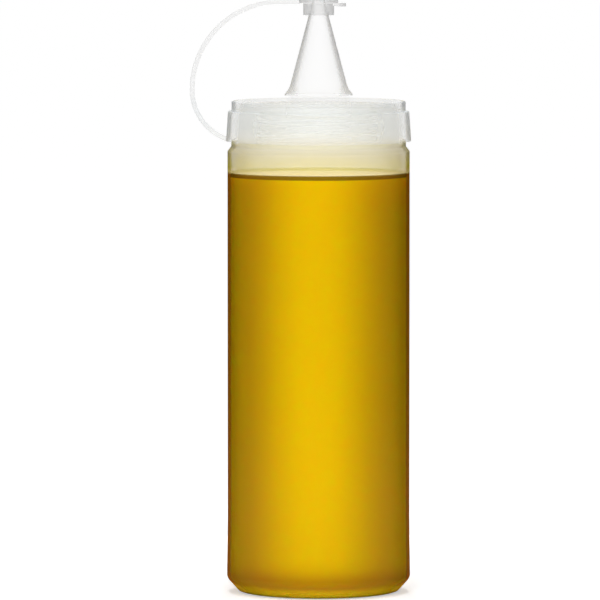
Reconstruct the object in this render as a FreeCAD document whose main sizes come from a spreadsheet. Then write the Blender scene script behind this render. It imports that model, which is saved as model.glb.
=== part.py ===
"""A squeeze bottle of cooking oil: bottle, oil, screw lid with nozzle, and a tip cap on a strap.

Millimetres, +Z up. The origin is on the bottle's axis, in the plane of its standing ring.
The tip cap's strap loops out to -X and the cap's finger tab points to +X.
"""
import FreeCAD, Part
import math
import os

import Sketcher

# Driving dimensions, one cell each.
SIZES = {
    # bottle
    "body_radius": 36.0,
    "wall": 1.0,
    "shoulder_height": 174.6,
    "heel_height": 5.5,
    "heel_inset": 5.0,
    "heel_swell": 0.3,
    "swell_top": 30.0,
    "foot_width": 2.8,
    "arch_run": 3.0,
    "arch_rise": 1.4,
    "base_rise": 2.2,
    "heel_round": 2.0,
    "foot_round": 0.9,
    # neck
    "shoulder_step": 1.5,
    "shoulder_rise": 2.0,
    "shoulder_round": 0.9,
    "bead_height": 2.4,
    "bead_step": 1.5,
    "neck_height": 14.0,
    "neck_wall": 1.4,
    "rim_round": 0.4,
    # oil
    "oil_drop": 8.9,
    "oil_gap": 0.3,
    # screw lid
    "lid_gap": 0.3,
    "lid_wall": 1.1,
    "lid_top": 1.4,
    "lid_lift": 1.9,
    "tier_height": 3.9,
    "skirt_step": 1.4,
    "skirt_flare": 0.8,
    "lid_round": 0.4,
    # nozzle
    "boss_radius": 12.3,
    "boss_height": 2.2,
    "collar_reach": 1.1,
    "collar_thickness": 0.5,
    "nozzle_radius": 12.2,
    "nozzle_height": 38.3,
    "nozzle_wall": 1.25,
    "flare_height": 2.6,
    "nozzle_blend": 8.0,
    "tip_radius": 2.0,
    "tip_bore": 0.9,
    "tip_land": 2.0,
    # tip cap
    "cap_clearance": 0.3,
    "cap_overlap": 7.2,
    "cap_radius": 6.1,
    "brim_rise": 4.75,
    "brim_thickness": 1.5,
    "brim_reach": 1.6,
    "crown_inset": 1.2,
    "crown_height": 4.0,
    "crown_round": 1.4,
    "cap_round": 0.3,
    "tab_reach": 3.4,
    "tab_width": 5.0,
    "tab_thickness": 1.3,
    "tab_droop": 1.2,
    "tab_round": 1.8,
    # strap
    "strap_thickness": 1.5,
    "strap_width": 3.2,
    "strap_round": 0.45,
    "strap_bend": 34.7,
    "loop_bulge": 14.6,
    "root_rise": 0.6,
}

# Places that follow from the driving dimensions, each a sheet formula.
PLACES = {
    "half_turn": "tan(22.5)",
    "heel_radius": "sizes.body_radius + sizes.heel_swell",
    "foot_radius": "heel_radius - sizes.heel_inset",
    "foot_inner": "foot_radius - sizes.foot_width",
    "arch_radius": "foot_inner - sizes.arch_run",
    # neck
    "bead_radius": "sizes.body_radius - sizes.shoulder_step",
    "bead_bottom": "sizes.shoulder_height + sizes.shoulder_rise",
    "bead_top": "bead_bottom + sizes.bead_height",
    "neck_radius": "bead_radius - sizes.bead_step",
    "neck_root": "bead_top + sizes.bead_step / 2",
    "rim_height": "bead_top + sizes.neck_height",
    "mouth_radius": "neck_radius - sizes.neck_wall",
    "inner_shoulder": "sizes.shoulder_height - sizes.wall",
    "inner_neck_root": "bead_bottom + sizes.wall",
    "oil_level": "sizes.shoulder_height - sizes.oil_drop",
    # screw lid
    "lid_height": "rim_height + sizes.lid_top",
    "tier_inner": "neck_radius + sizes.lid_gap",
    "tier_radius": "tier_inner + sizes.lid_wall",
    "ledge_height": "lid_height - sizes.tier_height",
    "ledge_radius": "tier_radius + sizes.skirt_step",
    "ledge_inner": "ledge_radius - sizes.lid_wall",
    "ledge_under": "ledge_height - sizes.lid_wall",
    "skirt_bottom": "bead_bottom + sizes.lid_lift",
    "skirt_radius": "ledge_radius + sizes.skirt_flare",
    "skirt_inner": "skirt_radius - sizes.lid_wall",
    # nozzle
    "collar_under": "lid_height + sizes.boss_height",
    "collar_height": "collar_under + sizes.collar_thickness",
    "collar_radius": "sizes.boss_radius + sizes.collar_reach",
    "nozzle_inner": "sizes.nozzle_radius - sizes.nozzle_wall",
    "nozzle_top": "collar_height + sizes.nozzle_height",
    "nozzle_slope": "(sizes.nozzle_radius - sizes.tip_radius) / sizes.nozzle_height",
    "flare_top": "collar_height + sizes.flare_height",
    "flare_start": "sizes.nozzle_radius - nozzle_slope * sizes.flare_height",
    "land_bottom": "nozzle_top - sizes.tip_land",
    # tip cap
    "cap_bottom": "nozzle_top - sizes.cap_overlap",
    "cap_mouth": "sizes.tip_radius + nozzle_slope * sizes.cap_overlap + sizes.cap_clearance",
    "cap_seat": "sizes.tip_radius + sizes.cap_clearance",
    "cap_roof": "nozzle_top + sizes.cap_clearance",
    "brim_radius": "sizes.cap_radius + sizes.brim_reach",
    "brim_under": "cap_bottom + sizes.brim_rise",
    "brim_top": "brim_under + sizes.brim_thickness",
    "crown_radius": "sizes.cap_radius - sizes.crown_inset",
    "crown_top": "brim_top + sizes.crown_height",
    "tab_tip": "brim_radius + sizes.tab_reach",
    "tab_root": "sizes.cap_radius",
    "tab_top": "brim_under + sizes.tab_thickness",
    "tab_tip_top": "tab_top - sizes.tab_droop",
    "tab_tip_under": "brim_under - sizes.tab_droop",
    # strap
    "strap_level": "brim_under + sizes.brim_thickness / 2",
    "strap_start": "sizes.cap_radius",
    "strap_half_width": "sizes.strap_width / 2",
    "strap_half_thickness": "sizes.strap_thickness / 2",
    "loop_reach": "skirt_inner + sizes.loop_bulge",
    "loop_height": "strap_level - sizes.strap_bend",
    "bend_start": "loop_reach - sizes.strap_bend",
    "root_height": "skirt_bottom + sizes.root_rise",
    "root_drop": "loop_height - root_height",
    "root_bend": "(sizes.loop_bulge ^ 2 + root_drop ^ 2) / (2 * sizes.loop_bulge)",
    "root_centre": "loop_reach - root_bend",
    "trim_bottom": "skirt_bottom - 3 * sizes.strap_thickness",
    "brim_trim_bottom": "brim_under - sizes.strap_thickness",
    "brim_trim_top": "brim_top + sizes.strap_thickness",
}

# The bottle's outer skin, its inner skin, and the oil's skin, each by its depth into the wall.
SKINS = {
    "outer": "0",
    "inner": "sizes.wall",
    "oil": "(sizes.wall + sizes.oil_gap)",
}
SKIN_PLACES = {
    "base": "sizes.base_rise + {depth}",
    "arch": "sizes.arch_rise + {depth}",
    "floor": "{depth}",
    "foot": "foot_radius - {depth} * half_turn",
    "heel": "heel_radius - {depth}",
    "heel_height": "sizes.heel_height + {depth} * half_turn",
    "side": "sizes.body_radius - {depth}",
}


def sheet_of(doc, name, cells):
    """A spreadsheet with a name in column A and an aliased value in column B."""
    sheet = doc.addObject("Spreadsheet::Sheet", name)
    for row, (alias, content) in enumerate(cells.items(), start=1):
        sheet.set(f"A{row}", alias)
        sheet.set(f"B{row}", str(content))
        sheet.setAlias(f"B{row}", alias)
    doc.recompute()
    return sheet


def place_formulas():
    """PLACES and the three skins' own places, as the cells of the second sheet."""
    cells = {}
    for alias, formula in PLACES.items():
        cells[alias] = "=" + formula
    for skin, depth in SKINS.items():
        for alias, formula in SKIN_PLACES.items():
            cells[f"{skin}_{alias}"] = "=" + formula.format(depth=depth)
    return cells


def value_of(doc, text):
    """The number that a cell such as sizes.wall or -places.loop_reach holds now."""
    sheet, alias = text.lstrip("-").split(".")
    number = float(doc.getObject(sheet).get(alias))
    return -number if text.startswith("-") else number


def new_body(doc, label):
    body = doc.addObject("PartDesign::Body", label)
    body.Label = label
    body.Placement = FreeCAD.Placement()
    return body


def origin_plane(body, role):
    for feature in body.Origin.OriginFeatures:
        if feature.Role == role:
            return feature
    raise ValueError(role)


def new_sketch(body, name, role):
    sketch = body.newObject("Sketcher::SketchObject", name)
    sketch.AttachmentSupport = [(origin_plane(body, role), "")]
    sketch.MapMode = "FlatFace"
    return sketch


def unit(vector):
    return vector * (1.0 / vector.Length)


class Outline:
    """A closed sketch outline whose corners are tied to sheet cells.

    A corner is (across, up) or (across, up, radius). Each is a cell such as "sizes.wall", with a
    minus sign before it where it lies on the negative side, or None on the sketch's own axis.
    """

    def __init__(self, sketch, corners):
        self.sketch = sketch
        self.doc = sketch.Document
        self.corners = corners
        self.constraints = []
        self.bindings = []
        self.points = [self.point_of(corner) for corner in corners]
        self.ends = [self.ends_at(index) for index in range(len(corners))]
        self.draw()

    def point_of(self, corner):
        across, up = (0.0 if cell is None else value_of(self.doc, cell) for cell in corner[:2])
        return FreeCAD.Vector(across, up, 0)

    def radius_at(self, index):
        return value_of(self.doc, self.corners[index][2]) if len(self.corners[index]) > 2 else 0.0

    def directions_at(self, index):
        """Unit vectors from a corner back along the outline and ahead along it."""
        corner = self.points[index]
        before = self.points[index - 1]
        after = self.points[(index + 1) % len(self.points)]
        return unit(before - corner), unit(after - corner)

    def ends_at(self, index):
        """Where the line into a corner ends and where the line out of it starts."""
        radius = self.radius_at(index)
        if not radius:
            return self.points[index], self.points[index]
        back, ahead = self.directions_at(index)
        cut = radius / math.tan(back.getAngle(ahead) / 2)
        return self.points[index] + back * cut, self.points[index] + ahead * cut

    def arc_at(self, index):
        """The rounding arc, and which of its two points is the one that the outline meets first."""
        back, ahead = self.directions_at(index)
        radius = self.radius_at(index)
        reach = radius / math.sin(back.getAngle(ahead) / 2)
        centre = self.points[index] + unit(back + ahead) * reach
        first, last = (end - centre for end in self.ends[index])
        turns_left = back.cross(ahead).z < 0
        start, stop = (first, last) if turns_left else (last, first)
        circle = Part.Circle(centre, FreeCAD.Vector(0, 0, 1), radius)
        angles = (math.atan2(start.y, start.x), math.atan2(stop.y, stop.x))
        return Part.ArcOfCircle(circle, *angles), 1 if turns_left else 2

    def tie(self, kind, *arguments):
        self.constraints.append(Sketcher.Constraint(kind, *arguments))

    def bind(self, kind, cell, *arguments):
        """A constraint whose value is a cell."""
        self.bindings.append((len(self.constraints), cell))
        self.tie(kind, *arguments, value_of(self.doc, cell))

    def bind_point(self, index, geometry, point):
        for kind, cell, axis in zip(("DistanceX", "DistanceY"), self.corners[index], (-2, -1)):
            if cell is None:
                self.tie("PointOnObject", geometry, point, axis)
            else:
                self.bind(kind, cell, -1, 1, geometry, point)

    def add_rounding(self, index, line_in, line_out):
        arc, first = self.arc_at(index)
        arc = self.sketch.addGeometry(arc, False)
        corner = self.sketch.addGeometry(Part.Point(self.points[index]), True)
        self.tie("Tangent", line_in, 2, arc, first)
        self.tie("Tangent", line_out, 1, arc, 3 - first)
        self.bind("Radius", self.corners[index][2], arc)
        self.tie("PointOnObject", corner, 1, line_in)
        self.tie("PointOnObject", corner, 1, line_out)
        self.bind_point(index, corner, 1)

    def draw(self):
        count = len(self.corners)
        lines = []
        for index in range(count):
            segment = Part.LineSegment(self.ends[index][1], self.ends[(index + 1) % count][0])
            lines.append(self.sketch.addGeometry(segment, False))
        for index in range(count):
            if self.radius_at(index):
                self.add_rounding(index, lines[index - 1], lines[index])
            else:
                self.tie("Coincident", lines[index - 1], 2, lines[index], 1)
                self.bind_point(index, lines[index], 1)
        base = self.sketch.ConstraintCount
        self.sketch.addConstraint(self.constraints)
        for offset, cell in self.bindings:
            self.sketch.setExpression(f"Constraints[{base + offset}]", cell)


def turned(body, kind, name, corners):
    """A Revolution or a Groove of an outline in the XZ plane, once round the body's Z axis."""
    sketch = new_sketch(body, name + "_outline", "XZ_Plane")
    Outline(sketch, corners)
    feature = body.newObject("PartDesign::" + kind, name)
    feature.Profile = sketch
    feature.ReferenceAxis = (sketch, ["V_Axis"])
    feature.Angle = 360
    return feature


def skin_corners(skin):
    """A skin's corners from the axis out over the arched base, round the heel and up the side."""
    return [
        (None, f"places.{skin}_base"),
        ("places.arch_radius", f"places.{skin}_arch"),
        ("places.foot_inner", f"places.{skin}_floor"),
        (f"places.{skin}_foot", f"places.{skin}_floor", "sizes.foot_round"),
        (f"places.{skin}_heel", f"places.{skin}_heel_height", "sizes.heel_round"),
        (f"places.{skin}_side", "sizes.swell_top"),
    ]


def make_bottle(doc):
    """The blown bottle: arched base on a standing ring, swelled heel, straight side, wide neck."""
    body = new_body(doc, "bottle")
    outside = skin_corners("outer") + [
        ("sizes.body_radius", "sizes.shoulder_height", "sizes.shoulder_round"),
        ("places.bead_radius", "places.bead_bottom"),
        ("places.bead_radius", "places.bead_top"),
        ("places.neck_radius", "places.neck_root"),
        ("places.neck_radius", "places.rim_height", "sizes.rim_round"),
    ]
    inside = skin_corners("inner") + [
        ("places.inner_side", "places.inner_shoulder", "sizes.shoulder_round"),
        ("places.mouth_radius", "places.inner_neck_root"),
        ("places.mouth_radius", "places.rim_height", "sizes.rim_round"),
    ]
    turned(body, "Revolution", "bottle_wall", outside + inside[::-1])
    return body


def make_oil(doc):
    """The oil, from the bottle's floor up to its level."""
    body = new_body(doc, "oil")
    corners = skin_corners("oil") + [
        ("places.oil_side", "places.oil_level"),
        (None, "places.oil_level"),
    ]
    turned(body, "Revolution", "oil_fill", corners)
    return body


def make_lid(doc):
    """The screw lid: tapered skirt, stepped top, and a hollow nozzle that flares to a thin collar."""
    body = new_body(doc, "lid")
    nozzle = [
        ("sizes.tip_bore", "places.nozzle_top"),
        ("sizes.tip_radius", "places.nozzle_top"),
        ("places.flare_start", "places.flare_top", "sizes.nozzle_blend"),
        ("places.collar_radius", "places.collar_height"),
        ("places.collar_radius", "places.collar_under"),
        ("sizes.boss_radius", "places.collar_under"),
        ("sizes.boss_radius", "places.lid_height"),
    ]
    shell = [
        ("places.tier_radius", "places.lid_height", "sizes.lid_round"),
        ("places.tier_radius", "places.ledge_height"),
        ("places.ledge_radius", "places.ledge_height", "sizes.lid_round"),
        ("places.skirt_radius", "places.skirt_bottom"),
        ("places.skirt_inner", "places.skirt_bottom"),
        ("places.ledge_inner", "places.ledge_under"),
        ("places.tier_inner", "places.ledge_under"),
        ("places.tier_inner", "places.rim_height"),
    ]
    bore = [
        ("places.nozzle_inner", "places.rim_height"),
        ("places.nozzle_inner", "places.collar_height"),
        ("sizes.tip_bore", "places.land_bottom"),
    ]
    turned(body, "Revolution", "lid_shell", nozzle + shell + bore)
    return body


def make_tip_cap(doc):
    """The tip cap: a sleeve over the nozzle's tip, a brim, a domed crown and a drooping finger tab."""
    body = new_body(doc, "tip_cap")
    corners = [
        ("places.cap_mouth", "places.cap_bottom"),
        ("sizes.cap_radius", "places.cap_bottom", "sizes.cap_round"),
        ("sizes.cap_radius", "places.brim_under"),
        ("places.brim_radius", "places.brim_under", "sizes.cap_round"),
        ("places.brim_radius", "places.brim_top", "sizes.cap_round"),
        ("places.crown_radius", "places.brim_top"),
        ("places.crown_radius", "places.crown_top", "sizes.crown_round"),
        (None, "places.crown_top"),
        (None, "places.cap_roof"),
        ("places.cap_seat", "places.cap_roof"),
        ("places.cap_seat", "places.nozzle_top"),
    ]
    turned(body, "Revolution", "cap_shell", corners)
    sketch = new_sketch(body, "tab_outline", "XZ_Plane")
    Outline(sketch, [
        ("places.tab_root", "places.brim_under"),
        ("places.brim_radius", "places.brim_under"),
        ("places.tab_tip", "places.tab_tip_under"),
        ("places.tab_tip", "places.tab_tip_top"),
        ("places.brim_radius", "places.tab_top"),
        ("places.tab_root", "places.tab_top"),
    ])
    tab = body.newObject("PartDesign::Pad", "tab")
    tab.Profile = sketch
    tab.SideType = "Symmetric"
    tab.setExpression("Length", "sizes.tab_width")
    doc.recompute()
    tip = value_of(doc, "places.tab_tip")
    corners = [name for name, edge in named_edges(tab) if is_upright_at(edge, tip)]
    ends = body.newObject("PartDesign::Fillet", "tab_end")
    ends.Base = (tab, corners)
    ends.setExpression("Radius", "sizes.tab_round")
    return body


def named_edges(feature):
    return [(f"Edge{number}", edge) for number, edge in enumerate(feature.Shape.Edges, start=1)]


def is_upright_at(edge, across):
    """True for a straight edge along Z at this distance across."""
    box = edge.BoundBox
    at_place = abs(box.XMin - across) < 1e-3 and abs(box.XMax - across) < 1e-3
    return at_place and box.YLength < 1e-3 and box.ZLength > 1e-3


def make_strap(doc):
    """The strap, swept from the cap's brim round a loop to the lid's skirt and trimmed to both."""
    body = new_body(doc, "strap")
    path = new_sketch(body, "strap_path", "XZ_Plane")
    draw_strap_path(path)
    section = new_sketch(body, "strap_section", "YZ_Plane")
    section.setExpression("AttachmentOffset.Base.y", "places.strap_level")
    section.setExpression("AttachmentOffset.Base.z", "-places.strap_start")
    wide, thick = "places.strap_half_width", "places.strap_half_thickness"
    Outline(section, [
        ("-" + wide, "-" + thick, "sizes.strap_round"),
        (wide, "-" + thick, "sizes.strap_round"),
        (wide, thick, "sizes.strap_round"),
        ("-" + wide, thick, "sizes.strap_round"),
    ])
    doc.recompute()
    sweep = body.newObject("PartDesign::AdditivePipe", "strap_sweep")
    sweep.Profile = section
    sweep.Spine = (path, ["Edge1", "Edge2", "Edge3"])
    doc.recompute()
    turned(body, "Groove", "brim_seat", [
        (None, "places.brim_trim_bottom"),
        ("places.brim_radius", "places.brim_trim_bottom"),
        ("places.brim_radius", "places.brim_trim_top"),
        (None, "places.brim_trim_top"),
    ])
    doc.recompute()
    turned(body, "Groove", "skirt_seat", [
        (None, "places.trim_bottom"),
        ("places.skirt_radius", "places.trim_bottom"),
        ("places.skirt_radius", "places.skirt_bottom"),
        ("places.ledge_radius", "places.ledge_height"),
        (None, "places.ledge_height"),
    ])
    return body


def draw_strap_path(sketch):
    """A level run from the cap, an arc over and down, and a tighter arc back in to the skirt."""
    doc = sketch.Document

    def at(across, up):
        return FreeCAD.Vector(-value_of(doc, across), value_of(doc, up), 0)

    start = at("places.strap_start", "places.strap_level")
    bend = at("places.bend_start", "places.strap_level")
    bend_centre = at("places.bend_start", "places.loop_height")
    root_centre = at("places.root_centre", "places.loop_height")
    root = at("places.skirt_inner", "places.root_height")
    root_angle = math.atan2(root.y - root_centre.y, root.x - root_centre.x)
    axis = FreeCAD.Vector(0, 0, 1)
    over = Part.Circle(bend_centre, axis, value_of(doc, "sizes.strap_bend"))
    under = Part.Circle(root_centre, axis, value_of(doc, "places.root_bend"))
    run = sketch.addGeometry(Part.LineSegment(start, bend), False)
    over = sketch.addGeometry(Part.ArcOfCircle(over, math.pi / 2, math.pi), False)
    under = sketch.addGeometry(Part.ArcOfCircle(under, -math.pi, root_angle), False)
    sketch.addConstraint([
        Sketcher.Constraint("Tangent", run, 2, over, 1),
        Sketcher.Constraint("Tangent", over, 2, under, 1),
    ])
    bound = [
        ("DistanceX", run, 1, "-places.strap_start"),
        ("DistanceY", run, 1, "places.strap_level"),
        ("DistanceX", over, 3, "-places.bend_start"),
        ("DistanceY", over, 3, "places.loop_height"),
        ("DistanceX", under, 3, "-places.root_centre"),
        ("DistanceY", under, 3, "places.loop_height"),
        ("DistanceX", under, 2, "-places.skirt_inner"),
        ("DistanceY", under, 2, "places.root_height"),
    ]
    for kind, geometry, point, cell in bound:
        constraint = Sketcher.Constraint(kind, -1, 1, geometry, point, value_of(doc, cell))
        index = sketch.addConstraint(constraint)
        sketch.setExpression(f"Constraints[{index}]", cell)


def check(doc, bodies):
    """Stops on a failed feature, a loose sketch, or a sub-part that isn't one valid solid."""
    for thing in doc.Objects:
        if {"Invalid", "Error"} & set(thing.State):
            raise RuntimeError(f"{thing.Name} is {thing.State}")
        if thing.TypeId == "Sketcher::SketchObject" and not thing.FullyConstrained:
            raise RuntimeError(f"{thing.Name} isn't fully constrained")
    for body in bodies:
        shape = body.Shape
        if shape.isNull() or not shape.isValid() or len(shape.Solids) != 1:
            raise RuntimeError(f"{body.Label} isn't one valid solid")


def main():
    doc = FreeCAD.newDocument("oil_bottle")
    sheet_of(doc, "sizes", SIZES)
    sheet_of(doc, "places", place_formulas())
    makers = (make_bottle, make_oil, make_lid, make_tip_cap, make_strap)
    bodies = [make(doc) for make in makers]
    doc.recompute()
    check(doc, bodies)
    os.makedirs("parts", exist_ok=True)
    for body in bodies:
        body.Shape.exportStep(f"parts/{body.Label}.step")
        print(body.Label, round(body.Shape.Volume / 1000, 2), "ml", body.Shape.BoundBox)


main()
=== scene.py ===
"""Looks of the oil dispenser bottle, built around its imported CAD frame.

Outlines and heights are in millimetres and scaled once, where a mesh or a colour ramp is made.
The sizes of lumps and grain, and everything in the studio, are in metres.
"""

import math

import bmesh
import bpy
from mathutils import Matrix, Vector


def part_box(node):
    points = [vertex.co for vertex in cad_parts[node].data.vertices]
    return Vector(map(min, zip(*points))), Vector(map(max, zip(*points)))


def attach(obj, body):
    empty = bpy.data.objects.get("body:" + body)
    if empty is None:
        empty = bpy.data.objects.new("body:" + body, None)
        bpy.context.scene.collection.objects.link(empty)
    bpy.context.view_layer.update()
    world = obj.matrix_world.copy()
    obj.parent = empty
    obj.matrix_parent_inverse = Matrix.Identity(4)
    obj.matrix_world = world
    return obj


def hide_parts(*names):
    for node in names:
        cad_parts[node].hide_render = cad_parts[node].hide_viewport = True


MM = 0.001
BODY = "root"

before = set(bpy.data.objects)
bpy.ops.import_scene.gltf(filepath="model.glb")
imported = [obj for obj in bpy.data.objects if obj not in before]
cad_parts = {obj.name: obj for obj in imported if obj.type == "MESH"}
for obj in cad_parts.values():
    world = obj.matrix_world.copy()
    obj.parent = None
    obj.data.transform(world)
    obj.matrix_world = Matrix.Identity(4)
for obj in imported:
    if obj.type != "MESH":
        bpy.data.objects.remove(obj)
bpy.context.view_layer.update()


def reach(node):
    """A CAD node's box in millimetres: x lowest, x highest, z lowest, z highest."""
    low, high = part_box(node)
    return low.x / MM, high.x / MM, low.z / MM, high.z / MM


# ---------------------------------------------------------------- sizes

# From the frame. _R is a radius, _X a place along X and _Z a height.
HEEL_R = reach("bottle")[1]
RIM_Z = reach("bottle")[3]
OIL_Z = reach("oil")[3]
SKIRT_R = reach("lid")[1]
SKIRT_Z = reach("lid")[2]
TIP_Z = reach("lid")[3]
CAP_Z = reach("tip_cap")[2]
CROWN_Z = reach("tip_cap")[3]
TAB_X = reach("tip_cap")[1]
LOOP_X = reach("strap")[0]
STRAP_TOP_Z = reach("strap")[3]

# The bottle, from its arched base up.
WALL = 1.0
BODY_R = HEEL_R - 0.3
BASE_RISE = 2.2
ARCH_RISE = 1.4
ARCH_RUN = 3.0
FOOT_WIDE = 2.8
FOOT_ROUND = 1.6
HEEL_INSET = 5.0
HEEL_Z = 5.5
HEEL_ROUND = 3.6
BEVEL_SHIFT = math.tan(math.radians(22.5))   # how far a 45 degree bevel's corners move for each mm of depth
SWELL_TOP_Z = 30.0
SHOULDER_Z = RIM_Z - 18.4
SHOULDER_ROUND = 0.9
BEAD_Z = SHOULDER_Z + 2.0
BEAD_R = BODY_R - 1.5
BEAD_TALL = 2.4
NECK_R = BEAD_R - 1.5
NECK_ROOT_Z = BEAD_Z + 3.15
MOUTH_R = NECK_R - 1.4

# The thread on its neck.
THREAD_START_Z = BEAD_Z + 5.6
THREAD_PITCH = 4.4
THREAD_TURNS = 1.45
THREAD_RISE = 0.8
THREAD_HALF = 1.9
THREAD_FROM = math.radians(200)
THREAD_FADE = 0.06        # turns over which it fades at each end
THREAD_SLACK = 0.2        # how far from the neck's outline a point can be and still be moved
THREAD_TOP_Z = RIM_Z - 0.5

# The oil, and how its surface climbs the wall: (distance in from its side, rise).
OIL_BITE = 0.8            # how far it reaches into the wall, so that no air gap shows
MENISCUS = [(0.0, 0.75), (0.2, 0.40), (0.5, 0.17), (1.2, 0.05), (2.4, 0.0)]
MENISCUS_FOOT = 1.0

# The lid and its nozzle.
LID_Z = RIM_Z + 1.4
LID_WALL = 1.1
TIER_R = NECK_R + 1.4
LEDGE_Z = LID_Z - 3.9
LEDGE_R = TIER_R + 1.4
LEDGE_ROUND = 0.5
BOSS_R = 12.3
COLLAR_Z = LID_Z + 2.7
COLLAR_R = 13.4
COLLAR_THICK = 0.5
COLLAR_ROUND = 0.15
NOZZLE_R = 12.2
NOZZLE_WALL = 1.25
NOZZLE_ROOT_ROUND = 2.0
TIP_R = 2.0
BORE_R = 0.9
TIP_LAND = 2.0            # how far down the bore stays this narrow
NOZZLE_SLOPE = (NOZZLE_R - TIP_R) / (TIP_Z - COLLAR_Z)
FLARE_RISE = 2.6
FLARE_BLEND = 8.0

# The tip cap and its finger tab.
CAP_R = 6.1
CAP_GAP = 0.3
CAP_ROUND = 0.35
BRIM_R = CAP_R + 1.6
BRIM_Z = CAP_Z + 4.75
BRIM_TOP_Z = BRIM_Z + 1.5
CROWN_R = BRIM_R - 2.8
CROWN_ROUND = 1.4
TAB_HALF = 2.5
TAB_THICK = 1.3
TAB_DROP = 1.2            # how far its level underside is below the brim's
TAB_LIFT = 0.2            # how much higher its root is
TAB_BEND = 2.6            # over what length that levels out
TAB_ROOT_DEEP = 0.5
TAB_SHORT = 0.3           # how far its tip stops before the CAD's
TAB_FROM = 0.4            # the tab's faces are this far or more out from the cap's side
TAB_UNDER = 0.02          # and this far or more under its brim

# The strap.
STRAP_THICK = 1.8
STRAP_WIDE = 3.2
STRAP_ROUND = 0.45
STRAP_BEND = 34.7
STRAP_BRIM_DEEP = 0.5     # how far inside the brim it starts
STRAP_ROOT_DEEP = 0.9     # how far inside the skirt it ends, as a share of the lid's wall
STRAP_ROOT_RISE = 0.6

# Roundings that several pieces have.
RIM_ROUND = 0.4
EDGE_ROUND = 0.3
LIP_ROUND = 0.2

# How finely meshes are cut.
TURN_STEPS = 240          # faces round a full turn
CAP_STEPS = 120           # the same for the small tip cap
ARC_STEPS = 6             # sides of a rounded corner
TAB_STEPS = 14            # sides of the tab's round end
STRAP_ROUND_STEPS = 5
STRAP_LEVEL_STEPS = 8
STRAP_UPPER_STEPS = 48
STRAP_LOWER_STEPS = 32
BODY_SIDE = 8.0           # the longest side that each outline keeps
THREAD_SIDE = 0.25
OIL_SIDE = 6.0
LID_SIDE = 3.0
SHARP_ANGLE = math.radians(32)
ON_AXIS = 1e-6


# ---------------------------------------------------------------- meshes

def rounded(corners):
    """An outline with each (r, z, radius) corner turned into an arc that meets both of its sides."""
    outline = []
    count = len(corners)
    for index, corner in enumerate(corners):
        here = Vector(corner[:2])
        radius = corner[2] if len(corner) > 2 else 0.0
        if not radius:
            outline.append(here)
            continue
        back = (Vector(corners[index - 1][:2]) - here).normalized()
        ahead = (Vector(corners[(index + 1) % count][:2]) - here).normalized()
        half = back.angle(ahead) / 2
        run = radius / math.tan(half)
        centre = here + (back + ahead).normalized() * (radius / math.sin(half))
        start, end = here + back * run - centre, here + ahead * run - centre
        sweep = start.angle_signed(end)
        for step in range(ARC_STEPS + 1):
            turn = -sweep * step / ARC_STEPS
            spun = Vector((
                start.x * math.cos(turn) - start.y * math.sin(turn),
                start.x * math.sin(turn) + start.y * math.cos(turn),
            ))
            outline.append(centre + spun)
    return outline


def divided(outline, longest, low=-math.inf, high=math.inf):
    """The closed outline with its sides between two heights cut into pieces no longer than this.

    A side along the axis has no faces, so it stays whole.
    """
    out = []
    for here, there in zip(outline, outline[1:] + outline[:1]):
        out.append(here)
        if min(here.y, there.y) < low or max(here.y, there.y) > high:
            continue
        if max(here.x, there.x) < ON_AXIS:
            continue
        parts = math.ceil((there - here).length / longest)
        for part in range(1, parts):
            out.append(here.lerp(there, part / parts))
    return out


def turned(name, outline, bulge=None, steps=TURN_STEPS):
    """A solid of revolution about Z from a closed outline; bulge(angle, r, z) may add to the radius."""
    made = bmesh.new()
    rings = []
    for point in outline:
        if point.x < ON_AXIS:
            rings.append([made.verts.new((0, 0, point.y * MM))])
            continue
        ring = []
        for step in range(steps):
            angle = 2 * math.pi * step / steps
            radius = point.x + (bulge(angle, point.x, point.y) if bulge else 0.0)
            ring.append(made.verts.new((
                radius * math.cos(angle) * MM, radius * math.sin(angle) * MM, point.y * MM,
            )))
        rings.append(ring)
    for ring, after in zip(rings, rings[1:] + rings[:1]):
        if len(ring) == 1 and len(after) == 1:
            continue
        for step in range(steps):
            ahead = (step + 1) % steps
            if len(ring) == 1:
                made.faces.new((ring[0], after[ahead], after[step]))
            elif len(after) == 1:
                made.faces.new((ring[step], ring[ahead], after[0]))
            else:
                made.faces.new((ring[step], ring[ahead], after[ahead], after[step]))
    return closed(name, made)


def walled(made, one, two):
    """Faces between two rings that have as many points each."""
    for index in range(len(one)):
        after = (index + 1) % len(one)
        made.faces.new((one[index], one[after], two[after], two[index]))


def closed(name, made):
    """The object made of a bmesh that closes up, with all its faces turned outwards."""
    bmesh.ops.recalc_face_normals(made, faces=made.faces)
    return finished(name, made)


def finished(name, made):
    """The object made of a bmesh."""
    mesh = bpy.data.meshes.new(name)
    made.to_mesh(mesh)
    made.free()
    smooth(mesh)
    piece = bpy.data.objects.new(name, mesh)
    bpy.context.scene.collection.objects.link(piece)
    return piece


def smooth(mesh):
    """Smooth shading, but for the sharp edges."""
    for face in mesh.polygons:
        face.use_smooth = True
    mesh.set_sharp_from_angle(angle=SHARP_ANGLE)


def outwards(face):
    """The level vector from the axis to a face's middle."""
    return Vector((face.center.x, face.center.y, 0.0))


def inward(face):
    """Whether a face of a turned piece looks inwards, or down."""
    out = outwards(face)
    if out.length < ON_AXIS:
        return face.normal.z < 0
    return face.normal.dot(out.normalized()) < -0.3 or face.normal.z < -0.7


def dressed(piece, materials, node):
    """Gives a piece its materials and its body, and lets it stand for a CAD node."""
    for material in materials:
        piece.data.materials.append(material)
    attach(piece, BODY)
    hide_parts(node)


# ---------------------------------------------------------------- nodes that materials share

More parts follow.
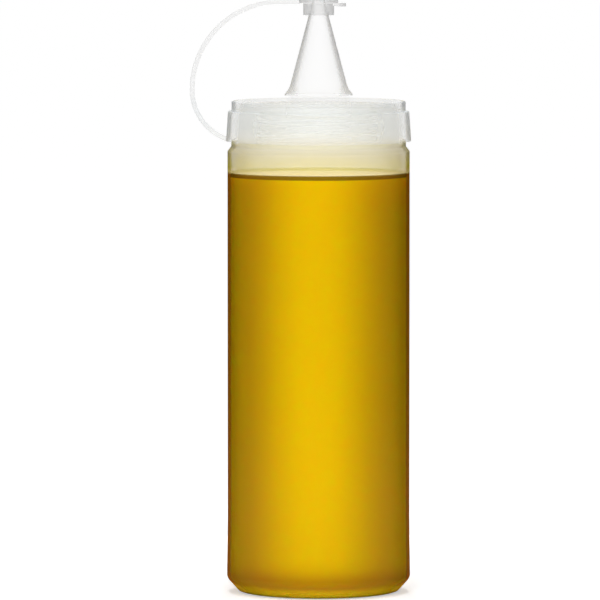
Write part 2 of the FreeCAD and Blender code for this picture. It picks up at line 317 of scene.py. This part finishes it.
def new_material(name, specular=0.0):
    material = bpy.data.materials.new(name)
    material.use_nodes = True
    nodes, links = material.node_tree.nodes, material.node_tree.links
    nodes.clear()
    output = nodes.new("ShaderNodeOutputMaterial")
    shader = nodes.new("ShaderNodeBsdfPrincipled")
    shader.inputs["Specular IOR Level"].default_value = specular
    links.new(shader.outputs[0], output.inputs["Surface"])
    return material, nodes, links, shader


def grey(value):
    return (value, value, value)


def ramped(nodes, links, value, stops, between="LINEAR"):
    """A colour ramp over a value from 0 to 1."""
    ramp = nodes.new("ShaderNodeValToRGB")
    ramp.color_ramp.interpolation = between
    links.new(value, ramp.inputs[0])
    elements = ramp.color_ramp.elements
    elements[0].position, elements[0].color = stops[0][0], (*stops[0][1], 1)
    elements[1].position, elements[1].color = stops[-1][0], (*stops[-1][1], 1)
    for position, colour in stops[1:-1]:
        added = elements.new(position)
        added.color = (*colour, 1)
    return ramp.outputs[0]


def height_ramp(nodes, links, stops):
    """A colour that changes with the height in millimetres."""
    place = nodes.new("ShaderNodeTexCoord")
    split = nodes.new("ShaderNodeSeparateXYZ")
    links.new(place.outputs["Object"], split.inputs[0])
    low, high = stops[0][0], stops[-1][0]
    span = nodes.new("ShaderNodeMapRange")
    span.inputs["From Min"].default_value = low * MM
    span.inputs["From Max"].default_value = high * MM
    links.new(split.outputs["Z"], span.inputs["Value"])
    return ramped(nodes, links, span.outputs[0], [
        ((height - low) / (high - low), colour) for height, colour in stops])


def climbing(nodes, links, low, high):
    """0 up to the one height, 1 from the other."""
    return height_ramp(nodes, links, [(low, grey(0.0)), (high, grey(1.0))])


def see_through(nodes, links, stops):
    """How much of the view a wall stops: the stops run from 0, met square on, to 1, along its outline."""
    facing = nodes.new("ShaderNodeLayerWeight")
    facing.inputs["Blend"].default_value = 0.5
    covers = [(steep, grey(cover)) for steep, cover in stops]
    return ramped(nodes, links, facing.outputs["Facing"], covers, "CARDINAL")


def blended(nodes, links, factor, one, two):
    mix = nodes.new("ShaderNodeMix")
    links.new(factor, mix.inputs[0])
    links.new(one, mix.inputs[2])
    links.new(two, mix.inputs[3])
    return mix.outputs[0]


def mottle(nodes, links, lump):
    """A soft noise from 0 to 1 with lumps of this size in metres."""
    place = nodes.new("ShaderNodeTexCoord")
    noise = nodes.new("ShaderNodeTexNoise")
    noise.inputs["Scale"].default_value = 1.0 / lump
    noise.inputs["Detail"].default_value = 3.0
    links.new(place.outputs["Object"], noise.inputs["Vector"])
    return noise.outputs[0]


def uneven_gloss(nodes, links, shader, lump, smoothest, roughest):
    """A roughness that wanders between two values; nearly all of the noise lies between 0.3 and 0.7."""
    lumps = mottle(nodes, links, lump)
    span = nodes.new("ShaderNodeMapRange")
    span.inputs["From Min"].default_value = 0.3
    span.inputs["From Max"].default_value = 0.7
    span.inputs["To Min"].default_value = smoothest
    span.inputs["To Max"].default_value = roughest
    links.new(lumps, span.inputs["Value"])
    links.new(span.outputs[0], shader.inputs["Roughness"])


def grained(nodes, links, shader, lump, depth, strength):
    """A fine grain of bumps of this size and depth in metres."""
    lumps = mottle(nodes, links, lump)
    bump = nodes.new("ShaderNodeBump")
    bump.inputs["Strength"].default_value = strength
    bump.inputs["Distance"].default_value = depth
    links.new(lumps, bump.inputs["Height"])
    links.new(bump.outputs[0], shader.inputs["Normal"])


# ---------------------------------------------------------------- the bottle's materials

# By height: painted dark shade at the foot and a painted bright band of light above it; amber where the oil
# wets the wall, the oil's tint, which at the body's outline, where the wall stops most of the view, is partly
# painted shade of its dark edge; a painted highlight just over the oil's surface; creamy over it, with
# painted light that the oil throws on the wall; clear at the neck.
WALL_COLOURS_AND_PAINTED_LIGHT = [
    # painted dark shade at the foot
    (0.0, (0.30, 0.18, 0.02)),
    (0.4, (0.30, 0.18, 0.02)),
    # a painted bright band of light
    (1.1, (0.98, 0.57, 0.02)),
    (2.6, (0.98, 0.57, 0.02)),
    (4.8, (0.47, 0.145, 0.02)),
    (34.0, (0.47, 0.145, 0.02)),
    (78.0, (0.41, 0.138, 0.008)),
    (OIL_Z + 0.4, (0.41, 0.138, 0.008)),
    # a painted highlight just over the oil's surface
    (OIL_Z + 0.8, (0.97, 0.76, 0.20)),
    (OIL_Z + 2.0, (0.97, 0.76, 0.20)),
    # painted light that the oil throws on the wall
    (OIL_Z + 2.9, (0.80, 0.68, 0.09)),
    (OIL_Z + 7.8, (0.80, 0.69, 0.28)),
    (BEAD_Z - 0.2, (0.84, 0.78, 0.50)),
    (BEAD_Z + 1.6, (0.84, 0.81, 0.50)),
    (NECK_ROOT_Z + 1.0, (0.93, 0.94, 0.86)),
    (RIM_Z, (0.93, 0.96, 0.95)),
]

# Covers: how much of the view a wall stops, from 0, met square on, to 1, along its outline.
WET_COVER = [
    (0.0, 0.06), (0.05, 0.10), (0.15, 0.22), (0.34, 0.39),
    (0.62, 0.31), (0.70, 0.34), (0.77, 0.84), (1.0, 0.92),
]
DRY_COVER = [
    (0.0, 0.42), (0.25, 0.45), (0.50, 0.55), (0.62, 0.51),
    (0.68, 0.54), (0.74, 0.80), (0.80, 0.90), (1.0, 0.95),
]
NECK_COVER = [
    (0.0, 0.17), (0.06, 0.24), (0.16, 0.34), (0.30, 0.25),
    (0.50, 0.12), (0.70, 0.05), (1.0, 0.03),
]
INNER_WALL_COVER = 0.02


def wall_material():
    """Milky soft plastic of the bottle, with light and shade painted into its colour by height."""
    material, nodes, links, shader = new_material("bottle_plastic")
    links.new(height_ramp(nodes, links, WALL_COLOURS_AND_PAINTED_LIGHT), shader.inputs["Base Color"])
    wet = see_through(nodes, links, WET_COVER)
    dry = see_through(nodes, links, DRY_COVER)
    neck = see_through(nodes, links, NECK_COVER)
    above_oil = climbing(nodes, links, OIL_Z + 0.7, OIL_Z + 1.1)
    above_bead = climbing(nodes, links, BEAD_Z + 1.0, NECK_ROOT_Z - 0.3)
    body = blended(nodes, links, above_oil, wet, dry)
    links.new(blended(nodes, links, above_bead, body, neck), shader.inputs["Alpha"])
    uneven_gloss(nodes, links, shader, lump=0.004, smoothest=0.34, roughest=0.46)
    grained(nodes, links, shader, lump=0.0012, depth=0.00004, strength=0.4)
    return material


def wall_inside_material():
    """The bottle's inner face, which adds only a little haze."""
    material, nodes, links, shader = new_material("bottle_inside")
    # the wall's colours by height, with their painted light and shade
    links.new(height_ramp(nodes, links, WALL_COLOURS_AND_PAINTED_LIGHT), shader.inputs["Base Color"])
    shader.inputs["Alpha"].default_value = INNER_WALL_COVER
    shader.inputs["Roughness"].default_value = 0.4
    return material


# ---------------------------------------------------------------- the oil's materials

# By height: painted dark shade at the foot, a painted bright band of light above it, painted shade again at
# the heel, then even.
OIL_COLOURS_AND_PAINTED_LIGHT = [
    (0.0, (0.30, 0.18, 0.004)),
    (0.4, (0.30, 0.18, 0.004)),
    (1.1, (0.94, 0.60, 0.004)),
    (2.5, (0.94, 0.60, 0.004)),
    (4.4, (0.57, 0.35, 0.004)),
    (7.0, (0.52, 0.30, 0.004)),
    (9.6, (0.66, 0.42, 0.004)),
    (12.0, (0.77, 0.525, 0.002)),
    (16.0, (0.83, 0.587, 0.002)),
    (OIL_Z, (0.83, 0.587, 0.002)),
]

# Its surface is paler where it climbs the wall: a painted reflection on the meniscus.
SURFACE_COLOURS_AND_PAINTED_REFLECTION = [
    (OIL_Z, (0.95, 0.76, 0.30)),
    (OIL_Z + 0.20, (0.99, 0.97, 0.80)),
]
# Painted shade: the thin dark line round the oil's top, where its surface climbs the wall.
EDGE_SHADE_COLOUR = (0.27, 0.17, 0.008)


def oil_material():
    material, nodes, links, shader = new_material("oil_gold")
    # its colour by height carries painted shade and a painted bright band of light
    links.new(height_ramp(nodes, links, OIL_COLOURS_AND_PAINTED_LIGHT), shader.inputs["Base Color"])
    shader.inputs["Roughness"].default_value = 0.3
    shader.inputs["Subsurface Weight"].default_value = 0.9
    shader.inputs["Subsurface Radius"].default_value = (1.0, 0.25, 0.02)
    shader.inputs["Subsurface Scale"].default_value = 0.030
    return material


def oil_surface_material():
    material, nodes, links, shader = new_material("oil_surface", specular=0.5)
    # paler up the meniscus: a painted reflection
    links.new(height_ramp(nodes, links, SURFACE_COLOURS_AND_PAINTED_REFLECTION), shader.inputs["Base Color"])
    shader.inputs["Roughness"].default_value = 0.05
    shader.inputs["IOR"].default_value = 1.47
    return material


def painted_edge_shade_material():
    """Painted shade: the thin dark edge where the oil climbs the wall."""
    material, nodes, links, shader = new_material("oil_edge_shade")
    shader.inputs["Base Color"].default_value = (*EDGE_SHADE_COLOUR, 1)
    shader.inputs["Roughness"].default_value = 0.3
    return material


# ---------------------------------------------------------------- the lid's, cap's and strap's material

# By height: warmer low down, painted light from the oil where its light reaches, cool above, a painted bright
# band on the tier's wall, and painted shade just under the lid's top, where it is greyer.
LID_COLOURS_AND_PAINTED_LIGHT = [
    (SKIRT_Z, (0.93, 0.93, 0.87)),
    (SKIRT_Z + 6.0, (0.82, 0.86, 0.86)),
    (LEDGE_Z, (0.84, 0.89, 0.91)),
    (LID_Z - 2.4, (0.90, 0.94, 0.95)),
    (LID_Z - 1.4, (0.75, 0.79, 0.81)),
    (LID_Z - 0.4, (0.75, 0.79, 0.81)),
    (LID_Z + 0.1, (0.80, 0.835, 0.85)),
    (COLLAR_Z, (0.95, 0.95, 0.95)),
    (TIP_Z, (0.95, 0.95, 0.95)),
]
NOZZLE_TONE = 0.75
CAP_TONE = 0.66
STRAP_TONE = 0.85

LID_COVER = [
    (0.0, 0.21), (0.10, 0.24), (0.30, 0.28), (0.48, 0.31),
    (0.60, 0.20), (0.68, 0.28), (0.74, 0.62), (1.0, 0.78),
]
NOZZLE_FOOT_COVER = [
    (0.0, 0.02), (0.20, 0.03), (0.34, 0.05), (0.42, 0.16),
    (0.50, 0.30), (0.60, 0.42), (1.0, 0.48),
]
NOZZLE_COVER = [
    (0.0, 0.02), (0.06, 0.03), (0.17, 0.07), (0.28, 0.18),
    (0.38, 0.38), (0.50, 0.58), (1.0, 0.62),
]
CAPPED_COVER = [(0.0, 0.02), (0.30, 0.07), (0.60, 0.22), (1.0, 0.25)]
CAP_COVER = [
    (0.0, 0.20), (0.05, 0.27), (0.12, 0.37), (0.25, 0.43),
    (0.57, 0.43), (0.80, 0.45), (1.0, 0.50),
]
# The tab stops more of the view than the cap, so that it shows darker: painted shade under the tab.
TAB_SHADE_COVER = [(0.0, 0.36), (1.0, 0.50)]
STRAP_COVER = [(0.0, 0.20), (1.0, 0.30)]
INSIDE_COVER = [(0.0, 0.02), (1.0, 0.04)]


def lid_material(name, stops, tone=1.0, grain=0.4, foot_stops=None):
    """Cloudy soft plastic, with painted light and shade in its colour by height.

    With foot_stops, the cover changes from these at the nozzle's foot to stops at the cap, and on to
    CAPPED_COVER for the tip, which the cap hides.
    """
    material, nodes, links, shader = new_material(name, specular=0.05)
    colours = [(height, tuple(part * tone for part in colour)) for height, colour in LID_COLOURS_AND_PAINTED_LIGHT]
    links.new(height_ramp(nodes, links, colours), shader.inputs["Base Color"])
    cover = see_through(nodes, links, stops)
    if foot_stops:
        above_foot = climbing(nodes, links, COLLAR_Z, CAP_Z)
        cover = blended(nodes, links, above_foot, see_through(nodes, links, foot_stops), cover)
        capped = climbing(nodes, links, CAP_Z, CAP_Z + 1.0)
        cover = blended(nodes, links, capped, cover, see_through(nodes, links, CAPPED_COVER))
    links.new(cover, shader.inputs["Alpha"])
    uneven_gloss(nodes, links, shader, lump=0.003, smoothest=0.30, roughest=0.42)
    if grain:
        grained(nodes, links, shader, lump=0.0010, depth=0.00003, strength=grain)
    return material


# ---------------------------------------------------------------- the bottle and its oil

def skin(depth):
    """The lower part of one of the bottle's skins, this far into the wall."""
    shift = depth * BEVEL_SHIFT
    foot = HEEL_R - HEEL_INSET
    return [
        (0.0, BASE_RISE + depth),
        (foot - FOOT_WIDE - ARCH_RUN, ARCH_RISE + depth),
        (foot - FOOT_WIDE, depth),
        (foot - shift, depth, FOOT_ROUND),
        (HEEL_R - depth, HEEL_Z + shift, HEEL_ROUND),
        (BODY_R - depth, SWELL_TOP_Z),
    ]


def thread(angle, radius, height):
    """The screw thread: a rounded ridge that climbs the neck and fades at both ends."""
    if radius < NECK_R - THREAD_SLACK or not NECK_ROOT_Z - THREAD_SLACK <= height <= THREAD_TOP_Z:
        return 0.0
    rise = 0.0
    for lap in range(math.ceil(THREAD_TURNS) + 1):
        along = (angle - THREAD_FROM) / (2 * math.pi) + lap
        if not 0.0 <= along <= THREAD_TURNS:
            continue
        fade = min(1.0, along / THREAD_FADE, (THREAD_TURNS - along) / THREAD_FADE)
        away = abs(height - THREAD_START_Z - along * THREAD_PITCH)
        if away < THREAD_HALF:
            rise = max(rise, fade * math.cos(math.pi / 2 * away / THREAD_HALF) ** 2)
    return THREAD_RISE * rise


def make_bottle(material, haze):
    """The bottle, with haze for its faces that look inwards or down and for the middle of its base."""
    outside = skin(0.0) + [
        (BODY_R, SHOULDER_Z, SHOULDER_ROUND),
        (BEAD_R, BEAD_Z, EDGE_ROUND),
        (BEAD_R, BEAD_Z + BEAD_TALL, RIM_ROUND),
        (NECK_R, NECK_ROOT_Z, RIM_ROUND),
        (NECK_R, RIM_Z, RIM_ROUND),
    ]
    inside = skin(WALL) + [
        (BODY_R - WALL, SHOULDER_Z - WALL, SHOULDER_ROUND),
        (MOUTH_R, BEAD_Z + WALL, RIM_ROUND),
        (MOUTH_R, RIM_Z, RIM_ROUND),
    ]
    outline = rounded(outside + inside[::-1])
    outline = divided(outline, THREAD_SIDE, NECK_ROOT_Z, RIM_Z)
    outline = divided(outline, BODY_SIDE)
    piece = turned("bottle_wall", outline, thread)
    for face in piece.data.polygons:
        if inward(face) or outwards(face).length < BODY_R / 2 * MM:
            face.material_index = 1
    dressed(piece, [material, haze], "bottle")


def make_oil(side, top, edge):
    """The oil, with its surface curving up where it wets the wall."""
    depth = WALL - OIL_BITE
    side_r = BODY_R - depth
    outline = rounded(skin(depth))
    outline.append(Vector((side_r, OIL_Z - MENISCUS_FOOT)))
    outline += [Vector((side_r - inset, OIL_Z + rise)) for inset, rise in MENISCUS]
    outline.append(Vector((0.0, OIL_Z)))
    piece = turned("oil_fill", divided(outline, OIL_SIDE))
    for face in piece.data.polygons:
        if face.center.z > (OIL_Z - MENISCUS_FOOT) * MM:
            out = outwards(face)
            # meniscus faces that look outwards get the painted edge shade, the others the paler surface
            face.material_index = 2 if face.normal.dot(out) > out.length / 2 else 1
    dressed(piece, [side, top, edge], "oil")


# ---------------------------------------------------------------- the lid with its nozzle

def make_lid(material, clear, haze):
    """The lid, with clear for its nozzle, and haze for what looks inwards or down and for its boss."""
    nozzle_in = NOZZLE_R - NOZZLE_WALL
    collar_under = COLLAR_Z - COLLAR_THICK
    corners = [
        (BORE_R, TIP_Z, LIP_ROUND),
        (TIP_R, TIP_Z, RIM_ROUND),
        (NOZZLE_R - NOZZLE_SLOPE * FLARE_RISE, COLLAR_Z + FLARE_RISE, FLARE_BLEND),
        (COLLAR_R, COLLAR_Z, COLLAR_ROUND),
        (COLLAR_R, collar_under, COLLAR_ROUND),
        (BOSS_R, collar_under),
        (BOSS_R, LID_Z, EDGE_ROUND),
        (TIER_R, LID_Z, LEDGE_ROUND),
        (TIER_R, LEDGE_Z, EDGE_ROUND),
        (LEDGE_R, LEDGE_Z, LEDGE_ROUND),
        (SKIRT_R, SKIRT_Z, EDGE_ROUND),
        (SKIRT_R - LID_WALL, SKIRT_Z, LIP_ROUND),
        (LEDGE_R - LID_WALL, LEDGE_Z - LID_WALL),
        (TIER_R - LID_WALL, LEDGE_Z - LID_WALL),
        (TIER_R - LID_WALL, RIM_Z),
        (nozzle_in, RIM_Z),
        (nozzle_in, COLLAR_Z, NOZZLE_ROOT_ROUND),
        (BORE_R, TIP_Z - TIP_LAND),
    ]
    piece = turned("lid_shell", divided(rounded(corners), LID_SIDE))
    for face in piece.data.polygons:
        on_boss = LID_Z < face.center.z / MM < collar_under
        if inward(face) or on_boss:
            face.material_index = 2
        elif face.center.z > COLLAR_Z * MM:
            face.material_index = 1
    dressed(piece, [material, clear, haze], "lid")


# ---------------------------------------------------------------- the tip cap

def make_tip_cap(material, shaded_tab_material, haze):
    """The tip cap, joined with its finger tab, whose faces under the brim get a darker copy of its plastic:
    painted shade.
    """
    seat = TIP_R + CAP_GAP
    roof_z = TIP_Z + CAP_GAP
    corners = [
        (seat + NOZZLE_SLOPE * (TIP_Z - CAP_Z), CAP_Z, LIP_ROUND),
        (CAP_R, CAP_Z, CAP_ROUND),
        (CAP_R, BRIM_Z, EDGE_ROUND),
        (BRIM_R, BRIM_Z, CAP_ROUND),
        (BRIM_R, BRIM_TOP_Z, CAP_ROUND),
        (CROWN_R, BRIM_TOP_Z, EDGE_ROUND),
        (CROWN_R, CROWN_Z, CROWN_ROUND),
        (0.0, CROWN_Z),
        (0.0, roof_z),
        (seat, roof_z),
        (seat, TIP_Z),
    ]
    shell = turned("tip_cap_shell", rounded(corners), steps=CAP_STEPS)
    tab = make_tab()
    join = shell.modifiers.new("tab", "BOOLEAN")
    join.operation = "UNION"
    join.solver = "EXACT"
    join.object = tab
    bpy.context.view_layer.update()
    graph = bpy.context.evaluated_depsgraph_get()
    mesh = bpy.data.meshes.new_from_object(shell.evaluated_get(graph))
    shell.modifiers.clear()
    shell.data = mesh
    bpy.data.objects.remove(tab)
    smooth(mesh)
    for face in mesh.polygons:
        # the tab's faces under the brim's level get the darker copy: painted shade
        beyond_side = face.center.x > (CAP_R + TAB_FROM) * MM
        if beyond_side and face.center.z < (BRIM_Z - TAB_UNDER) * MM:
            face.material_index = 1
        elif inward(face):
            face.material_index = 2
    dressed(shell, [material, shaded_tab_material, haze], "tip_cap")


def make_tab():
    """The finger tab: a tongue with a round end, level but for its root."""
    root, tip = CAP_R - TAB_ROOT_DEEP, TAB_X - TAB_SHORT
    level, centre = root + TAB_BEND, tip - TAB_HALF
    outline = [(root, -TAB_HALF), (level, -TAB_HALF), (centre, -TAB_HALF)]
    for step in range(1, TAB_STEPS):
        angle = -math.pi / 2 + math.pi * step / TAB_STEPS
        outline.append((centre + TAB_HALF * math.cos(angle), TAB_HALF * math.sin(angle)))
    outline += [(centre, TAB_HALF), (level, TAB_HALF), (root, TAB_HALF)]

    def underside(across):
        return BRIM_Z - TAB_DROP + TAB_LIFT * max(0.0, 1.0 - (across - root) / TAB_BEND)

    made = bmesh.new()
    under = [made.verts.new((x * MM, y * MM, underside(x) * MM)) for x, y in outline]
    over = [made.verts.new((x * MM, y * MM, (underside(x) + TAB_THICK) * MM)) for x, y in outline]
    made.faces.new(under[::-1])
    made.faces.new(over)
    walled(made, under, over)
    return closed("tip_cap_tab", made)


# ---------------------------------------------------------------- the strap

def strap_path():
    """Points and inward normals along the strap, from the cap's brim to the lid's skirt."""
    start = BRIM_R - STRAP_BRIM_DEEP
    level = STRAP_TOP_Z - STRAP_THICK / 2
    loop = -LOOP_X - STRAP_THICK / 2
    bend = loop - STRAP_BEND
    centre_z = level - STRAP_BEND
    run = loop - (SKIRT_R - LID_WALL * STRAP_ROOT_DEEP)
    drop = centre_z - (SKIRT_Z + STRAP_ROOT_RISE)
    root_bend = (run ** 2 + drop ** 2) / (2 * run)
    last = math.atan2(drop, root_bend - run)
    path = []
    for step in range(STRAP_LEVEL_STEPS + 1):
        across = start + (bend - start) * step / STRAP_LEVEL_STEPS
        path.append((Vector((-across, level)), Vector((0, -1))))
    for step in range(1, STRAP_UPPER_STEPS + 1):
        angle = math.pi / 2 * step / STRAP_UPPER_STEPS
        out = Vector((-math.sin(angle), math.cos(angle)))
        path.append((Vector((-bend, centre_z)) + out * STRAP_BEND, -out))
    for step in range(1, STRAP_LOWER_STEPS + 1):
        angle = last * step / STRAP_LOWER_STEPS
        out = Vector((-math.cos(angle), -math.sin(angle)))
        path.append((Vector((root_bend - loop, centre_z)) + out * root_bend, -out))
    return path


def strap_section():
    """The strap's outline, across it and up: a flat band with rounded corners."""
    wide, thick = STRAP_WIDE / 2 - STRAP_ROUND, STRAP_THICK / 2 - STRAP_ROUND
    section = []
    for quarter, (side, face) in enumerate(((1, 1), (-1, 1), (-1, -1), (1, -1))):
        for step in range(STRAP_ROUND_STEPS + 1):
            angle = math.pi / 2 * (quarter + step / STRAP_ROUND_STEPS)
            across = side * wide + STRAP_ROUND * math.cos(angle)
            up = face * thick + STRAP_ROUND * math.sin(angle)
            section.append((across, up))
    return section


def make_strap(material):
    """The strap, its section swept along its path."""
    made = bmesh.new()
    rings = []
    for point, inner in strap_path():
        ring = []
        for across, up in strap_section():
            spot = point - inner * up
            ring.append(made.verts.new((spot.x * MM, across * MM, spot.y * MM)))
        rings.append(ring)
    for one, two in zip(rings, rings[1:]):
        walled(made, one, two)
    made.faces.new(rings[0])
    made.faces.new(rings[-1][::-1])
    dressed(closed("tether_strap", made), [material], "strap")


# ---------------------------------------------------------------- the studio

WHITE = (1, 1, 1, 1)
WORLD_LIGHT = 0.10
FLOOR_HALF = 15.0
FLOOR_Z = -0.0002
FLOOR_TONE = 0.80
FLOOR_GLOW = 0.52         # round the bottle, where its shadow shows
GLOW_NEAR = 0.08          # how far out the glow starts to grow
GLOW_FAR = 0.30           # how far out the floor is as white as the background
SEE_THROUGH_BOUNCES = 32  # how many clear faces a line of sight can pass

CAMERA_TARGET = Vector((-0.00735, 0.0, 0.1156))
CAMERA_RISE = math.radians(4.03)
CAMERA_AWAY = 2.77
CAMERA_LENS = 420.0
CAMERA_SENSOR = 36.0

# name, place, what it points at, width and height, power
LAMPS = [
    ("lamp_front", (-0.012, -0.22, 0.105), (0, 0, 0.105), (0.06, 0.48), 0.60),
    ("lamp_low", (0.0, -0.14, 0.02), (0, 0, 0.02), (0.04, 0.03), 0.016),
    ("lamp_back", (0.0, 0.22, 0.105), (0, 0, 0.105), (0.06, 0.48), 0.42),
    ("lamp_left", (-0.19, 0.20, 0.115), (0, 0, 0.115), (0.10, 0.40), 0.025),
    ("lamp_right", (0.19, 0.20, 0.115), (0, 0, 0.115), (0.10, 0.40), 0.025),
    ("lamp_top", (0.0, 0.0, 1.0), (0, 0, 0), (0.5, 0.5), 4.2),
]


def seen(nodes, links, unseen, shown):
    """A number that is one value for light and another where a camera, mirror or glass ray looks."""
    path = nodes.new("ShaderNodeLightPath")
    largest = path.outputs["Is Camera Ray"]
    for other in ("Is Glossy Ray", "Is Transmission Ray"):
        pick = nodes.new("ShaderNodeMath")
        pick.operation = "MAXIMUM"
        links.new(largest, pick.inputs[0])
        links.new(path.outputs[other], pick.inputs[1])
        largest = pick.outputs[0]
    span = nodes.new("ShaderNodeMapRange")
    span.inputs["To Min"].default_value = unseen
    span.inputs["To Max"].default_value = shown
    links.new(largest, span.inputs["Value"])
    return span.outputs[0]


def make_world():
    """A background that looks white but lights the bottle only a little."""
    world = bpy.data.worlds.new("studio")
    bpy.context.scene.world = world
    world.use_nodes = True
    nodes, links = world.node_tree.nodes, world.node_tree.links
    nodes.clear()
    output = nodes.new("ShaderNodeOutputWorld")
    sky = nodes.new("ShaderNodeBackground")
    sky.inputs["Color"].default_value = WHITE
    links.new(sky.outputs[0], output.inputs[0])
    links.new(seen(nodes, links, WORLD_LIGHT, 1.0), sky.inputs["Strength"])


def floor_material():
    """Pale, shaded round the bottle and as white as the background further out."""
    material, nodes, links, shader = new_material("floor_pale")
    shader.inputs["Base Color"].default_value = (*grey(FLOOR_TONE), 1)
    shader.inputs["Roughness"].default_value = 1.0
    shader.inputs["Emission Color"].default_value = WHITE
    place = nodes.new("ShaderNodeTexCoord")
    away = nodes.new("ShaderNodeVectorMath")
    away.operation = "LENGTH"
    links.new(place.outputs["Object"], away.inputs[0])
    glow = nodes.new("ShaderNodeMapRange")
    glow.interpolation_type = "SMOOTHSTEP"
    glow.inputs["From Min"].default_value = GLOW_NEAR
    glow.inputs["From Max"].default_value = GLOW_FAR
    glow.inputs["To Min"].default_value = FLOOR_GLOW
    glow.inputs["To Max"].default_value = 1.0 - FLOOR_TONE * WORLD_LIGHT
    links.new(away.outputs["Value"], glow.inputs["Value"])
    gate = nodes.new("ShaderNodeMath")
    gate.operation = "MULTIPLY"
    links.new(glow.outputs[0], gate.inputs[0])
    links.new(seen(nodes, links, 0.0, 1.0), gate.inputs[1])
    links.new(gate.outputs[0], shader.inputs["Emission Strength"])
    return material


def make_floor():
    made = bmesh.new()
    corners = ((-1, -1), (1, -1), (1, 1), (-1, 1))
    made.faces.new([made.verts.new((x * FLOOR_HALF, y * FLOOR_HALF, FLOOR_Z)) for x, y in corners])
    piece = finished("floor", made)
    piece.data.materials.append(floor_material())


def make_lamp(name, place, aim, size, power):
    lamp = bpy.data.lights.new(name, "AREA")
    lamp.shape = "RECTANGLE"
    lamp.size, lamp.size_y = size
    lamp.energy = power
    piece = bpy.data.objects.new(name, lamp)
    piece.location = place
    piece.rotation_mode = "QUATERNION"
    piece.rotation_quaternion = (Vector(place) - Vector(aim)).to_track_quat("Z", "Y")
    piece.visible_camera = False
    piece.visible_glossy = False
    bpy.context.scene.collection.objects.link(piece)


def make_camera():
    lens = bpy.data.cameras.new("camera")
    lens.lens, lens.sensor_width = CAMERA_LENS, CAMERA_SENSOR
    lens.clip_start, lens.clip_end = 0.1, 100.0
    piece = bpy.data.objects.new("camera", lens)
    back = Vector((0.0, -math.cos(CAMERA_RISE), math.sin(CAMERA_RISE)))
    piece.location = CAMERA_TARGET + back * CAMERA_AWAY
    piece.rotation_mode = "QUATERNION"
    piece.rotation_quaternion = back.to_track_quat("Z", "Y")
    bpy.context.scene.collection.objects.link(piece)
    bpy.context.scene.camera = piece


# ---------------------------------------------------------------- the scene

scene = bpy.context.scene
scene.view_settings.view_transform = "Standard"
scene.cycles.transparent_max_bounces = SEE_THROUGH_BOUNCES

make_world()
make_floor()
make_camera()
for lamp in LAMPS:
    make_lamp(*lamp)

make_bottle(wall_material(), wall_inside_material())
make_oil(oil_material(), oil_surface_material(), painted_edge_shade_material())
haze = lid_material("lid_inside", INSIDE_COVER)
make_lid(
    lid_material("lid_plastic", LID_COVER, grain=0.2),
    lid_material("nozzle_plastic", NOZZLE_COVER, tone=NOZZLE_TONE, foot_stops=NOZZLE_FOOT_COVER),
    haze,
)
make_tip_cap(
    lid_material("cap_plastic", CAP_COVER, tone=CAP_TONE),
    lid_material("tab_plastic_shaded", TAB_SHADE_COVER, tone=CAP_TONE),
    haze,
)
make_strap(lid_material("strap_plastic", STRAP_COVER, tone=STRAP_TONE, grain=0.0))
